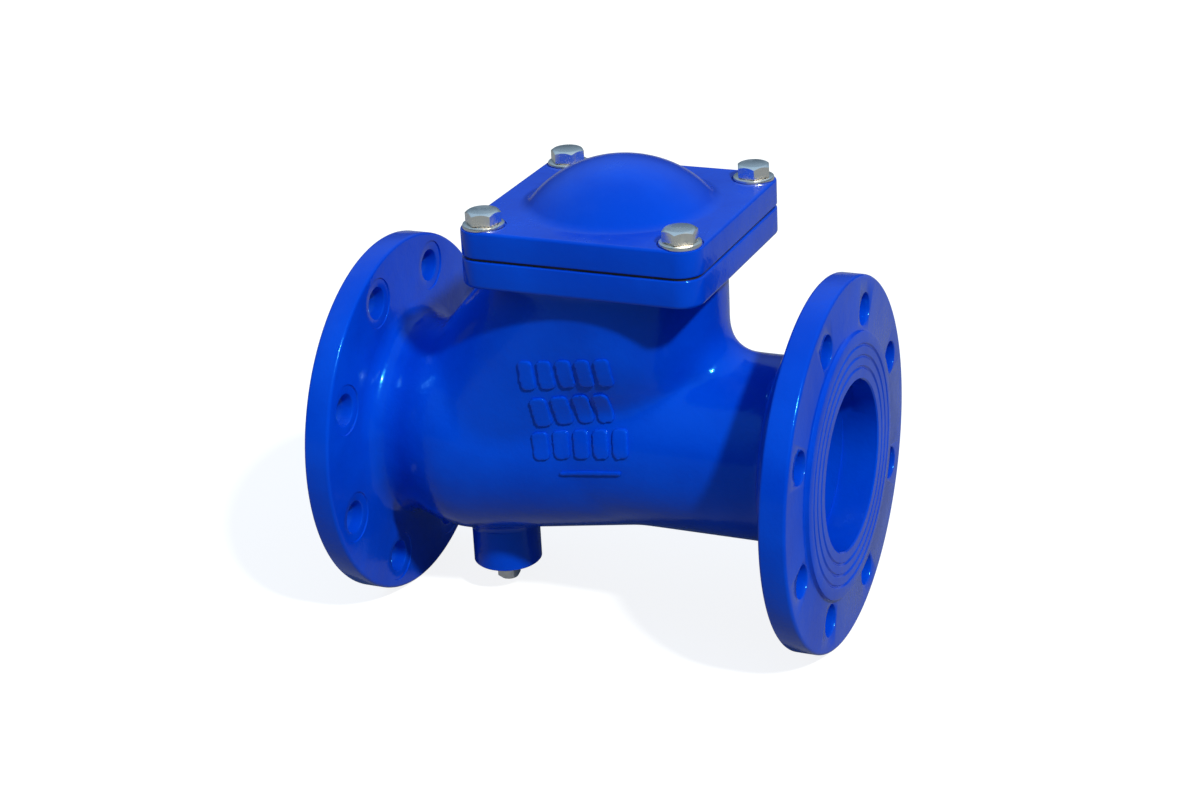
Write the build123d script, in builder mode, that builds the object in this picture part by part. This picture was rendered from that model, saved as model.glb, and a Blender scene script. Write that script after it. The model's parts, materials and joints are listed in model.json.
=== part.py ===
"""Flanged ball check valve, nominal bore 100 mm.

Water enters at the inlet flange, lifts a rubber-coated hollow ball off its inclined
seat and pushes it up an inclined chamber under the domed cover, out of the stream.
When the flow stops the ball rolls back and closes the seat.

Frame: the origin is the centre of the inlet bore's mouth, +X points along the pipe to
the outlet, +Z points up to the cover. Millimetres.
"""
from build123d import *
from math import atan2, cos, degrees, hypot, radians, sin, sqrt
import os

os.makedirs("parts", exist_ok=True)

# ---------------------------------------------------------------- driving dimensions
# Pipe flanges
face_to_face = 300.0
bore_radius = 50.0
flange_radius = 110.0
flange_thickness = 19.0
raised_face_height = 3.0
raised_face_radius = 78.0
bolt_circle_radius = 90.0
flange_hole_radius = 9.5
flange_hole_count = 8
flange_edge_round = 2.0
spot_face_radius = 15.0
spot_face_depth = 0.8
groove_radii = (57.0, 63.5, 70.0)
groove_depth = 0.9

# Ball and its way from the seat to the dome
ball_radius = 52.0
rubber_thickness = 4.0
core_wall = 6.0
closed_x, closed_z = 74.0, 2.0
open_x, open_z = 163.5, 103.0

# Cast walls
chamber_radius = 60.0
riser_radius = 59.2
riser_round_z = 75.0
chamber_wall = 5.5
inlet_neck_radius = 59.0
bulge_x = 67.0
bulge_radius = 66.0
bulge_wall = 7.5
taper_end_x = 205.0
taper_end_radius = 46.0
neck_start_x = 150.0
outlet_neck_radius = 53.7
outlet_neck_rise = 5.0
neck_wall = 7.0
inlet_bore_length = 10.0
outlet_bore_length = 25.0
outlet_cone_length = 25.0
flange_fillet = 9.0

# Square top flange, gasket and cover
square_side = 145.0
square_corner = 14.0
square_edge_round = 2.0
top_flange_low_z = 114.0
top_flange_top_z = 130.5
gasket_thickness = 1.5
gasket_setback = 1.5
cover_plate_thickness = 16.0
cover_bolt_spacing = 118.0
dome_centre_z = 101.5
dome_outer_radius = 72.0
dome_wall = 8.0
dome_fillet = 11.0
cover_spot_radius = 13.0
cover_spot_depth = 1.0

# Cover bolts and washers
bolt_radius = 6.0
bolt_length = 30.0
bolt_hole_radius = 7.0
tapped_hole_radius = 6.05
tapped_hole_depth = 14.5
bolt_head_across_flats = 18.0
bolt_head_height = 7.5
bolt_head_turn = 17.0
bolt_top_chamfer = 0.6
bolt_tip_chamfer = 1.0
washer_outer_radius = 12.0
washer_inner_radius = 6.5
washer_thickness = 2.5

# Seat ring and its seal
seat_tilt = 30.0
seat_radius = 45.0
seat_ring_outer_radius = 49.5
seat_throat_radius = 42.5
seat_ring_depth = 7.0
seat_collar_depth = 5.0
seal_section_radius = 1.5
seat_gap = 0.3

# Drain boss and plug
boss_x = 76.0
boss_radius = 21.0
boss_bottom_z = -91.5
plug_hole_radius = 10.5
plug_hole_depth = 17.0
plug_thread_radius = 10.1
plug_thread_length = 15.0
plug_head_across_flats = 11.0
plug_head_height = 13.0
plug_head_chamfer = 1.0
drain_way_radius = 7.0

# ---------------------------------------------------------------- worked-out values
cover_x = open_x
cover_low_z = top_flange_top_z + gasket_thickness
cover_top_z = cover_low_z + cover_plate_thickness
throat_radius = riser_radius - chamber_wall
outlet_bore_start_x = face_to_face - outlet_bore_length
outlet_cone_start_x = outlet_bore_start_x - outlet_cone_length
dome_inner_radius = dome_outer_radius - dome_wall
outlet_face_x = face_to_face
inlet_flange_back_x = flange_thickness
outlet_flange_back_x = face_to_face - flange_thickness
lift_length = hypot(open_x - closed_x, open_z - closed_z)
lift_angle = degrees(atan2(open_z - closed_z, open_x - closed_x))
core_radius = ball_radius - rubber_thickness

lift_plane = Plane(
    origin=(closed_x, 0, closed_z),
    x_dir=(0, 1, 0),
    z_dir=(cos(radians(lift_angle)), 0, sin(radians(lift_angle))),
)

# The seat circle lies where the ball's surface has the seat's radius.
seat_offset = sqrt(ball_radius**2 - seat_radius**2)
seat_normal = (cos(radians(seat_tilt)), 0, sin(radians(seat_tilt)))
seat_plane = Plane(
    origin=(closed_x - seat_offset * seat_normal[0], 0, closed_z - seat_offset * seat_normal[2]),
    x_dir=(0, 1, 0),
    z_dir=seat_normal,
)
ball_plane = Plane(origin=(closed_x, 0, closed_z))

# A half sphere is placed by its centre, not by the middle of its height.
sphere_align = (Align.CENTER, Align.CENTER, Align.NONE)


def across_pipe(x, z=0.0):
    """A plane across the pipe at x, with its origin z above the pipe's axis."""
    return Plane(origin=(x, 0, z), x_dir=(0, 1, 0), z_dir=(1, 0, 0))


def bolt_places():
    """The four cover bolt positions, as (x, y)."""
    half = cover_bolt_spacing / 2
    return [(cover_x + sx * half, sy * half) for sx, sy in ((-1, -1), (1, -1), (1, 1), (-1, 1))]


def finish(part, node, colour):
    """Label, colour and write one finished piece."""
    part.label = node
    part.color = Color(*colour)
    export_step(part, f"parts/{node}.step")
    print(f"{node}: {part.volume / 1000:.1f} cm3")


blue = (0.02, 0.12, 0.75)
steel = (0.75, 0.76, 0.78)
black = (0.06, 0.06, 0.06)
bronze = (0.72, 0.50, 0.25)
white = (0.92, 0.92, 0.90)

# ---------------------------------------------------------------- body: outside of the casting
def barrel(start_x, start_radius, round_radius, end_radius):
    """A solid barrel on the pipe's axis: neck, round bulge, long taper."""
    rise = sqrt(round_radius**2 - start_radius**2)
    with BuildPart() as barrel_solid:
        with BuildSketch(Plane.XZ):
            with BuildLine():
                Polyline((bulge_x, 0), (start_x, 0), (start_x, start_radius), (bulge_x - rise, start_radius))
                RadiusArc((bulge_x - rise, start_radius), (bulge_x, round_radius), round_radius)
                Polyline((bulge_x, round_radius), (taper_end_x, end_radius), (taper_end_x, 0), (bulge_x, 0))
            make_face()
        revolve(axis=Axis.X)
    return barrel_solid.part


def riser(radius, top_z):
    """A solid riser under the cover: a rounded foot, then a straight round wall."""
    with BuildPart() as riser_solid:
        with BuildSketch(Plane.XZ):
            with BuildLine():
                Polyline((cover_x, riser_round_z - radius), (cover_x, top_z), (cover_x + radius, top_z))
                Line((cover_x + radius, top_z), (cover_x + radius, riser_round_z))
                RadiusArc((cover_x + radius, riser_round_z), (cover_x, riser_round_z - radius), radius)
            make_face()
        revolve(axis=Axis((cover_x, 0, 0), (0, 0, 1)))
    return riser_solid.part


with BuildPart() as outside:
    # Inlet neck, the round bulge about the closed ball and the taper to the outlet neck
    add(barrel(inlet_flange_back_x - 1, inlet_neck_radius, bulge_radius, taper_end_radius))
    # Outlet neck, a little higher than the pipe's axis
    with BuildSketch(across_pipe(neck_start_x, outlet_neck_rise)):
        Circle(outlet_neck_radius)
    extrude(amount=outlet_flange_back_x + 1 - neck_start_x)
    # Inclined ball chamber
    with BuildSketch(lift_plane):
        Circle(chamber_radius)
    extrude(amount=lift_length)
    # Everything above the top flange's underside is cut away.
    with BuildSketch(Plane.XY.offset(top_flange_low_z + 1)):
        with Locations((cover_x, 0)):
            Rectangle(face_to_face, 2 * flange_radius)
    extrude(amount=face_to_face, mode=Mode.SUBTRACT)
    # Riser under the cover
    add(riser(riser_radius, top_flange_low_z + 1))
    # Drain boss
    with BuildSketch(Plane.XY.offset(boss_bottom_z)):
        with Locations((boss_x, 0)):
            Circle(boss_radius)
    extrude(amount=-boss_bottom_z)

# ---------------------------------------------------------------- body: the water way
with BuildPart() as inlet_way:
    # Straight bore in the inlet flange, then a throat that turns to the tilted seat
    with BuildSketch(across_pipe(-1)):
        Circle(bore_radius)
    extrude(amount=1 + inlet_bore_length)
    with BuildSketch(across_pipe(inlet_bore_length)):
        Circle(bore_radius)
    with BuildSketch(seat_plane.offset(-seat_ring_depth - seat_collar_depth)):
        Circle(seat_throat_radius)
    loft()
    # Collar that backs the seat ring
    with BuildSketch(seat_plane.offset(-seat_ring_depth - seat_collar_depth)):
        Circle(seat_throat_radius)
    extrude(amount=seat_ring_depth + seat_collar_depth)
    # Pocket for the seat ring
    with BuildSketch(seat_plane.offset(-seat_ring_depth)):
        Circle(seat_ring_outer_radius)
    extrude(amount=seat_ring_depth)

with BuildPart() as ball_room:
    # Round room about the closed ball, in front of the seat, and its taper
    room_neck_radius = inlet_neck_radius - bulge_wall
    room_radius = bulge_radius - bulge_wall
    add(barrel(inlet_flange_back_x, room_neck_radius, room_radius, taper_end_radius - bulge_wall))
    split(bisect_by=seat_plane, keep=Keep.TOP)

with BuildPart() as chamber_room:
    with BuildSketch(lift_plane):
        Circle(chamber_radius - chamber_wall)
    extrude(amount=lift_length)

with BuildPart() as outlet_way:
    with BuildSketch(across_pipe(neck_start_x + neck_wall, outlet_neck_rise)):
        Circle(outlet_neck_radius - neck_wall)
    extrude(amount=outlet_cone_start_x - neck_start_x - neck_wall)
    with BuildSketch(across_pipe(outlet_cone_start_x, outlet_neck_rise)):
        Circle(outlet_neck_radius - neck_wall)
    with BuildSketch(across_pipe(outlet_bore_start_x)):
        Circle(bore_radius)
    loft()
    with BuildSketch(across_pipe(outlet_bore_start_x)):
        Circle(bore_radius)
    extrude(amount=outlet_bore_length + 1)

# ---------------------------------------------------------------- body: one iron casting
flange_faces = (
    (across_pipe(0), 1),
    (across_pipe(outlet_face_x), -1),
)
with BuildPart() as body:
    add(outside.part)
    for face_plane, inward in flange_faces:
        with BuildSketch(face_plane.offset(inward * raised_face_height)):
            Circle(flange_radius)
        extrude(amount=inward * (flange_thickness - raised_face_height))
        with BuildSketch(face_plane):
            Circle(raised_face_radius)
        extrude(amount=inward * raised_face_height)
    # Square top flange
    with BuildSketch(Plane.XY.offset(top_flange_low_z)):
        with Locations((cover_x, 0)):
            RectangleRounded(square_side, square_side, square_corner)
    extrude(amount=top_flange_top_z - top_flange_low_z)
    # Rounded rims of the pipe flanges
    rims = body.edges().filter_by(GeomType.CIRCLE).filter_by(lambda e: abs(e.radius - flange_radius) < 0.01)
    fillet(rims, flange_edge_round)
    # Rounded roots where the necks meet the flanges
    roots = body.edges().filter_by(GeomType.CIRCLE).filter_by(
        lambda e: abs(e.center(CenterOf.BOUNDING_BOX).X - inlet_flange_back_x) < 0.01
        or abs(e.center(CenterOf.BOUNDING_BOX).X - outlet_flange_back_x) < 0.01
    )
    necks = roots.filter_by(lambda e: e.radius < flange_radius - 2 * flange_edge_round)
    fillet(necks, flange_fillet)
    # Water way and ball room
    for hollow in (inlet_way, ball_room, chamber_room, outlet_way):
        add(hollow.part, mode=Mode.SUBTRACT)
    add(riser(throat_radius, cover_top_z), mode=Mode.SUBTRACT)
    # Pipe flange bolt holes with spot faces on their backs, straddling the centre line
    half_step = 180 / flange_hole_count
    for face_plane, inward in flange_faces:
        with BuildSketch(face_plane):
            with PolarLocations(bolt_circle_radius, flange_hole_count, start_angle=half_step):
                Circle(flange_hole_radius)
        extrude(amount=inward * (flange_thickness + 1), mode=Mode.SUBTRACT)
        # Spot faces for the nuts on the flange's back
        with BuildSketch(face_plane.offset(inward * (flange_thickness - spot_face_depth))):
            with PolarLocations(bolt_circle_radius, flange_hole_count, start_angle=half_step):
                Circle(spot_face_radius)
        extrude(amount=inward * 2 * spot_face_depth, mode=Mode.SUBTRACT)
        # Sealing grooves in the raised face
        for radius in groove_radii:
            with BuildSketch(face_plane):
                Circle(radius + groove_depth / 2)
                Circle(radius - groove_depth / 2, mode=Mode.SUBTRACT)
            extrude(amount=inward * groove_depth, mode=Mode.SUBTRACT)
    # Tapped holes for the cover bolts
    with BuildSketch(Plane.XY.offset(top_flange_top_z)):
        with Locations(*bolt_places()):
            Circle(tapped_hole_radius)
    extrude(amount=-tapped_hole_depth, mode=Mode.SUBTRACT)
    # Plug hole and drain way in the boss
    with BuildSketch(Plane.XY.offset(boss_bottom_z)):
        with Locations((boss_x, 0)):
            Circle(plug_hole_radius)
    extrude(amount=plug_hole_depth, mode=Mode.SUBTRACT)
    with BuildSketch(Plane.XY.offset(boss_bottom_z)):
        with Locations((boss_x, 0)):
            Circle(drain_way_radius)
    extrude(amount=-boss_bottom_z - bulge_radius + 2 * bulge_wall, mode=Mode.SUBTRACT)
finish(body.part, "body", blue)

# ---------------------------------------------------------------- cover with its dome
with BuildPart() as cover:
    with BuildSketch(Plane.XY.offset(cover_low_z)):
        with Locations((cover_x, 0)):
            RectangleRounded(square_side, square_side, square_corner)
    extrude(amount=cover_plate_thickness)
    top_edges = cover.faces().sort_by(Axis.Z)[-1].edges()
    fillet(top_edges, square_edge_round)
    with Locations((cover_x, 0, dome_centre_z)):
        Sphere(dome_outer_radius, arc_size1=0, align=sphere_align)
    with BuildSketch(Plane.XY):
        with Locations((cover_x, 0)):
            Rectangle(2 * flange_radius, 2 * flange_radius)
    extrude(amount=cover_low_z, mode=Mode.SUBTRACT)
    dome_foot = cover.edges().filter_by(GeomType.CIRCLE).filter_by(
        lambda e: abs(e.center(CenterOf.BOUNDING_BOX).Z - cover_top_z) < 0.01 and e.radius > 2 * square_corner
    )
    fillet(dome_foot, dome_fillet)
    with Locations((cover_x, 0, dome_centre_z)):
        Sphere(dome_inner_radius, mode=Mode.SUBTRACT)
    with BuildSketch(Plane.XY.offset(cover_top_z)):
        with Locations(*bolt_places()):
            Circle(cover_spot_radius)
    extrude(amount=-cover_spot_depth, mode=Mode.SUBTRACT)
    with BuildSketch(Plane.XY.offset(cover_top_z)):
        with Locations(*bolt_places()):
            Circle(bolt_hole_radius)
    extrude(amount=-cover_plate_thickness, mode=Mode.SUBTRACT)
finish(cover.part, "cover", blue)

with BuildPart() as cover_gasket:
    gasket_side = square_side - 2 * gasket_setback
    with BuildSketch(Plane.XY.offset(top_flange_top_z)):
        with Locations((cover_x, 0)):
            RectangleRounded(gasket_side, gasket_side, square_corner - gasket_setback)
            Circle(throat_radius, mode=Mode.SUBTRACT)
        with Locations(*bolt_places()):
            Circle(bolt_hole_radius, mode=Mode.SUBTRACT)
    extrude(amount=gasket_thickness)
finish(cover_gasket.part, "cover_gasket", black)

# ---------------------------------------------------------------- cover bolts and washers
washer_low_z = cover_top_z - cover_spot_depth
bolt_head_low_z = washer_low_z + washer_thickness
for number, (x, y) in enumerate(bolt_places(), start=1):
    with BuildPart() as washer:
        with BuildSketch(Plane(origin=(x, y, washer_low_z))):
            Circle(washer_outer_radius)
            Circle(washer_inner_radius, mode=Mode.SUBTRACT)
        extrude(amount=washer_thickness)
    finish(washer.part, f"bolt_washer_{number}", steel)
    with BuildPart() as bolt:
        with BuildSketch(Plane(origin=(x, y, bolt_head_low_z))):
            RegularPolygon(bolt_head_across_flats / 2, 6, major_radius=False, rotation=bolt_head_turn * number)
        extrude(amount=bolt_head_height)
        chamfer(bolt.faces().sort_by(Axis.Z)[-1].edges(), bolt_top_chamfer)
        with BuildSketch(Plane(origin=(x, y, bolt_head_low_z))):
            Circle(bolt_radius)
        extrude(amount=-bolt_length)
        chamfer(bolt.faces().sort_by(Axis.Z)[0].edges(), bolt_tip_chamfer)
    finish(bolt.part, f"cover_bolt_{number}", steel)

# ---------------------------------------------------------------- seat ring and its seal
with BuildPart() as seat_ring:
    with BuildSketch(seat_plane.offset(-seat_ring_depth)):
        Circle(seat_ring_outer_radius)
        Circle(seat_throat_radius, mode=Mode.SUBTRACT)
    extrude(amount=seat_ring_depth)
    # The closed ball meets the ring's inner edge all round, less a small running gap.
    with Locations(ball_plane):
        Sphere(ball_radius + seat_gap, mode=Mode.SUBTRACT)
    groove_centre = seat_plane.offset(-seat_ring_depth / 2)
    with BuildSketch(groove_centre.offset(-seal_section_radius)):
        Circle(seat_ring_outer_radius + 1)
        Circle(seat_ring_outer_radius - 2 * seal_section_radius, mode=Mode.SUBTRACT)
    extrude(amount=2 * seal_section_radius, mode=Mode.SUBTRACT)
finish(seat_ring.part, "seat_ring", bronze)

with BuildPart() as seat_o_ring:
    with Locations(groove_centre):
        Torus(seat_ring_outer_radius - seal_section_radius, seal_section_radius)
finish(seat_o_ring.part, "seat_o_ring", black)

# ---------------------------------------------------------------- ball
with BuildPart() as ball_rubber:
    with Locations(ball_plane):
        Sphere(ball_radius)
        Sphere(core_radius, mode=Mode.SUBTRACT)
finish(ball_rubber.part, "ball_rubber", black)

backing_ring_width = 12.0
backing_ring_thickness = 3.0
core_inner_radius = core_radius - core_wall
for node, keep in (("ball_core_upper", Keep.TOP), ("ball_core_lower", Keep.BOTTOM)):
    with BuildPart() as half_shell:
        with Locations(ball_plane):
            Sphere(core_radius)
            Sphere(core_inner_radius, mode=Mode.SUBTRACT)
        split(bisect_by=ball_plane, keep=keep)
    finish(half_shell.part, node, steel)

with BuildPart() as ball_backing_ring:
    with Locations(ball_plane):
        Sphere(core_inner_radius)
        Cylinder(core_inner_radius - backing_ring_thickness, 2 * ball_radius, mode=Mode.SUBTRACT)
    with BuildSketch(ball_plane.offset(-backing_ring_width / 2)):
        Circle(ball_radius)
    extrude(amount=backing_ring_width, mode=Mode.INTERSECT)
finish(ball_backing_ring.part, "ball_backing_ring", steel)

# ---------------------------------------------------------------- drain plug
with BuildPart() as drain_plug:
    with BuildSketch(Plane(origin=(boss_x, 0, boss_bottom_z))):
        Circle(plug_thread_radius)
    extrude(amount=plug_thread_length)
    with BuildSketch(Plane(origin=(boss_x, 0, boss_bottom_z))):
        Rectangle(plug_head_across_flats, plug_head_across_flats)
    extrude(amount=-plug_head_height)
    chamfer(drain_plug.faces().sort_by(Axis.Z)[0].edges(), plug_head_chamfer)
finish(drain_plug.part, "drain_plug", steel)

with BuildPart() as plug_thread_tape:
    with BuildSketch(Plane(origin=(boss_x, 0, boss_bottom_z + 1))):
        Circle(plug_hole_radius)
        Circle(plug_thread_radius, mode=Mode.SUBTRACT)
    extrude(amount=plug_thread_length - 2)
finish(plug_thread_tape.part, "plug_thread_tape", white)
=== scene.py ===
# %% [markdown]
# # A flanged ball check valve
# The valve is one iron casting with two pipe flanges, closed on top by a domed cover.
# Inside, a rubber-coated ball rolls up an inclined chamber when water flows.
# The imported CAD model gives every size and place. This file gives the looks.

# %% Load the frame
import json
import math
import bpy
from mathutils import Matrix, Vector


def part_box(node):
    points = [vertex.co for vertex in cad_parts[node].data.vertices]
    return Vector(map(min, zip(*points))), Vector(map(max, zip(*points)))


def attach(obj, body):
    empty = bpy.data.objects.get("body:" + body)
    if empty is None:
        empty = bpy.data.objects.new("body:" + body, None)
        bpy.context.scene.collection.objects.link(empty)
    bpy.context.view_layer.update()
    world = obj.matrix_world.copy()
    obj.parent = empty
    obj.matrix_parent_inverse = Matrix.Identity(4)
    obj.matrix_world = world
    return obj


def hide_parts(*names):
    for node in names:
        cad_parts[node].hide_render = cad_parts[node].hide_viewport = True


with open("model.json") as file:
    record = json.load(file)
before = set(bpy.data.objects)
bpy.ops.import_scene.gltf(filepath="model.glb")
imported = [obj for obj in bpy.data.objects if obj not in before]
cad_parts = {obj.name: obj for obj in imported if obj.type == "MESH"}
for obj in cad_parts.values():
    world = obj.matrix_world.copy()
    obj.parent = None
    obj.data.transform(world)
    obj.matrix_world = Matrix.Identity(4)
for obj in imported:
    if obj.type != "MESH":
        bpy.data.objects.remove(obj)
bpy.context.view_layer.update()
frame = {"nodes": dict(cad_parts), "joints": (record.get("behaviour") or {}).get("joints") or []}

MM = 0.001
SAME_PLACE = 1e-6  # two points closer than this, in metres, count as one

# %% [markdown]
# ## Places taken from the frame
# The places where pieces meet are read from the boxes of the CAD nodes, so that a
# change of the CAD model carries over. Sizes that no box can tell, such as the radius
# of the neck or of a rounding, are named in millimetres where they are first needed.

# %% Read the main places
body_low, body_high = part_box("body")
cover_low, cover_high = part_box("cover")
gasket_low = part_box("cover_gasket")[0]
ball_low, ball_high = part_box("ball_rubber")
plug_low, plug_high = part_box("drain_plug")
washer_low, washer_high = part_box("bolt_washer_1")
FACE_TO_FACE = body_high.x - body_low.x
FLANGE_RADIUS = body_high.y
COVER_X = (cover_low.x + cover_high.x) / 2
BALL_RADIUS = (ball_high.x - ball_low.x) / 2
BALL_CENTRE = (ball_low + ball_high) / 2
LIFT = Vector(frame["joints"][0]["axis"])
LIFT_LENGTH = frame["joints"][0]["range_m"][1]
OPEN_CENTRE = BALL_CENTRE + LIFT * LIFT_LENGTH
X_AXIS = (1, 0, 0)
Z_AXIS = (0, 0, 1)
print("face to face", round(FACE_TO_FACE / MM, 1), "ball radius", round(BALL_RADIUS / MM, 1))

# %% [markdown]
# ## Small tools of the workshop
# An operator works on all that is selected, so each helper clears the selection first.
# `turn` works like a lathe: it draws half an outline and spins it about an axis.
# `rod` and `block` add a plain start, which is then cut, rounded or joined.
# `combine` joins or cuts two solids with a Boolean modifier and applies it.

# %% Helpers for selecting, applying and cleaning
def select_only(piece):
    if bpy.context.object and bpy.context.object.mode != "OBJECT":
        bpy.ops.object.mode_set(mode="OBJECT")
    bpy.ops.object.select_all(action="DESELECT")
    piece.select_set(True)
    bpy.context.view_layer.objects.active = piece


def settle(piece):
    """Puts the piece's place and turn into its mesh, with the object at the origin."""
    select_only(piece)
    bpy.ops.object.transform_apply(location=True, rotation=True, scale=True)
    return piece


def apply_modifier(piece, kind, **settings):
    """Adds one modifier, sets it and applies it."""
    select_only(piece)
    modifier = piece.modifiers.new(kind.lower(), kind)
    for name, value in settings.items():
        setattr(modifier, name, value)
    bpy.ops.object.modifier_apply(modifier=modifier.name)


def combine(piece, tool, operation):
    """Joins, cuts or intersects a piece with a tool, and removes the tool."""
    apply_modifier(piece, "BOOLEAN", object=tool, operation=operation, solver="MANIFOLD")
    bpy.data.objects.remove(tool)


def join_all(pieces, name):
    """Makes one object of several, without changing their shapes."""
    select_only(pieces[0])
    for piece in pieces:
        piece.select_set(True)
    bpy.ops.object.join()
    pieces[0].name = name
    return pieces[0]


def smooth(piece, degrees):
    """Smooth shading that keeps edges sharper than the given angle."""
    select_only(piece)
    bpy.ops.object.shade_smooth_by_angle(angle=math.radians(degrees))


def report(piece):
    """Prints how many triangles a piece has."""
    count = sum(len(face.vertices) - 2 for face in piece.data.polygons)
    print(piece.name, "has", count, "triangles")


# %% The lathe and the corner arc
def turn(name, outline, centre, axis, steps=96):
    """Spins an outline of (distance along the axis, radius) pairs about the axis."""
    along = Vector(axis)
    across = Vector((0, 1, 0))
    start = Vector(centre) + along * outline[0][0] + across * outline[0][1]
    bpy.ops.object.select_all(action="DESELECT")
    bpy.ops.mesh.primitive_plane_add(size=MM, location=start)
    piece = bpy.context.object
    piece.name = name
    bpy.ops.object.mode_set(mode="EDIT")
    bpy.ops.mesh.select_mode(type="VERT")
    bpy.ops.mesh.select_all(action="SELECT")
    bpy.ops.mesh.merge(type="CENTER")
    for (d0, r0), (d1, r1) in zip(outline, outline[1:]):
        step = along * (d1 - d0) + across * (r1 - r0)
        bpy.ops.mesh.extrude_region_move(TRANSFORM_OT_translate={"value": step})
    bpy.ops.mesh.select_all(action="SELECT")
    bpy.ops.mesh.spin(steps=steps, angle=2 * math.pi, center=centre, axis=axis)
    bpy.ops.mesh.select_all(action="SELECT")
    bpy.ops.mesh.remove_doubles(threshold=SAME_PLACE)
    bpy.ops.mesh.normals_make_consistent(inside=False)
    bpy.ops.object.mode_set(mode="OBJECT")
    return settle(piece)


def arc(centre, radius, start, end, count):
    """Points of an arc, as (distance, radius) pairs; angles in degrees from the axis."""
    points = []
    for i in range(count + 1):
        angle = math.radians(start + (end - start) * i / count)
        points.append((centre[0] + radius * math.cos(angle), centre[1] + radius * math.sin(angle)))
    return points


# %% Plain rods and blocks, and rounded edges
CORNER_STEPS = 12
EDGE_STEPS = 5


def rod(name, radius, length, place, turned, sides=96):
    """A cylinder, or a prism when it has few sides."""
    bpy.ops.object.select_all(action="DESELECT")
    bpy.ops.mesh.primitive_cylinder_add(
        vertices=sides, radius=radius, depth=length, location=place, rotation=turned
    )
    piece = bpy.context.object
    piece.name = name
    return settle(piece)


def block(name, place, size, turned=(0, 0, 0)):
    """A plain block about its middle."""
    bpy.ops.object.select_all(action="DESELECT")
    bpy.ops.mesh.primitive_cube_add(size=1, location=place, rotation=turned)
    piece = bpy.context.object
    piece.name = name
    piece.scale = size
    return settle(piece)


def bevel_where(piece, test, radius, segments):
    """Rounds the edges whose two ends pass a test, as by hand in edit mode."""
    if radius <= 0:
        return
    select_only(piece)
    bpy.ops.object.mode_set(mode="EDIT")
    bpy.ops.mesh.select_mode(type="EDGE")
    bpy.ops.mesh.select_all(action="DESELECT")
    bpy.ops.object.mode_set(mode="OBJECT")
    for edge in piece.data.edges:
        edge.select = test(*(piece.data.vertices[i].co for i in edge.vertices))
    bpy.ops.object.mode_set(mode="EDIT")
    bpy.ops.mesh.bevel(offset=radius, segments=segments, profile=0.5, affect="EDGES")
    bpy.ops.object.mode_set(mode="OBJECT")


def is_upright(a, b):
    return (a - b).xy.length < SAME_PLACE


def is_level_at(height):
    """A test for edges that lie level at one height."""
    return lambda a, b: max(abs(a.z - height), abs(b.z - height)) < SAME_PLACE


def slab(name, low, high, corner, top_round=0.0, bottom_round=0.0):
    """A square block with rounded corners and rounded top and bottom edges."""
    low, high = Vector(low), Vector(high)
    piece = block(name, (low + high) / 2, high - low)
    bevel_where(piece, is_upright, corner, CORNER_STEPS)
    for height, radius in ((high.z, top_round), (low.z, bottom_round)):
        bevel_where(piece, is_level_at(height), radius, EDGE_STEPS)
    return piece


# %% [markdown]
# ## The rough casting
# A founder rounds every inner corner of a mould, because iron tears at a sharp one.
# The neck, bulge, taper, inclined chamber, riser and boss are therefore first put
# together as plain round shapes. A voxel remesh makes one skin of them, and smoothing
# that skin fills the inner corners as the founder's fillets do. The machined faces are
# added afterwards, so they stay crisp.

# %% Sizes of the casting
NECK_RADIUS = 59.0 * MM
BULGE_RADIUS = 66.0 * MM
BULGE_X = 67.0 * MM
TAPER_END = (205.0 * MM, 46.0 * MM)
OUTLET_RADIUS = 53.7 * MM
OUTLET_RISE = 5.0 * MM
CHAMBER_RADIUS = 60.0 * MM
RISER_RADIUS = 59.2 * MM
RISER_ROUND_Z = 75.0 * MM
FLARE_HEIGHT = 6.0 * MM
FLARE_WIDTH = 4.0 * MM
WALL = 7.0 * MM
CHAMBER_WALL = 5.5 * MM
RISER_WALL = 5.0 * MM
FLANGE_THICKNESS = 19.0 * MM
TOP_FLANGE_LOW = 114.0 * MM
SQUARE_CORNER = 14.0 * MM
BOSS_X = (plug_low.x + plug_high.x) / 2
BOSS_RADIUS = 21.0 * MM
BOSS_LOW = -91.5 * MM
RIM = 0.8 * MM


def barrel_outline(outline, neck, bulge, end_radius):
    """Carries an outline on over the round bulge and down the taper."""
    rise = math.sqrt(bulge**2 - neck**2)
    lift_off = math.degrees(math.atan2(neck, -rise))
    over_the_bulge = arc((BULGE_X, 0), bulge, lift_off, 90, 10)
    return outline + over_the_bulge + [(TAPER_END[0], end_radius), (TAPER_END[0], 0)]


def riser_outline(radius, top):
    """A round bottom, a straight wall and a small flare at the top."""
    bottom = arc((RISER_ROUND_Z, 0), radius, 180, 90, 16)
    return bottom + [(top - FLARE_HEIGHT, radius), (top, radius + FLARE_WIDTH), (top, 0)]


def chamber_rod(name, radius):
    """A cylinder along the way of the ball, as long as the ball travels."""
    middle = (BALL_CENTRE + OPEN_CENTRE) / 2
    return rod(name, radius, LIFT_LENGTH, middle, LIFT.to_track_quat("Z", "Y").to_euler())


# %% Turn the rough barrel and outlet neck
INSET = 0.4 * MM
SWELL = 1.0 * MM
INSIDE_FLANGE = 6.0 * MM
ROOT = 9.0 * MM
MIDDLE_X = FACE_TO_FACE / 2
OUTLET_BACK = FACE_TO_FACE - FLANGE_THICKNESS
OUTLET_END = FACE_TO_FACE - INSIDE_FLANGE


def flare(back_x, neck, side):
    """The fillet from a flange's back to its neck: side is 1 at the inlet, -1 at the outlet."""
    start = 180 if side > 0 else 0
    return arc((back_x + side * ROOT, neck + ROOT), ROOT, start, 270, 8)


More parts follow.
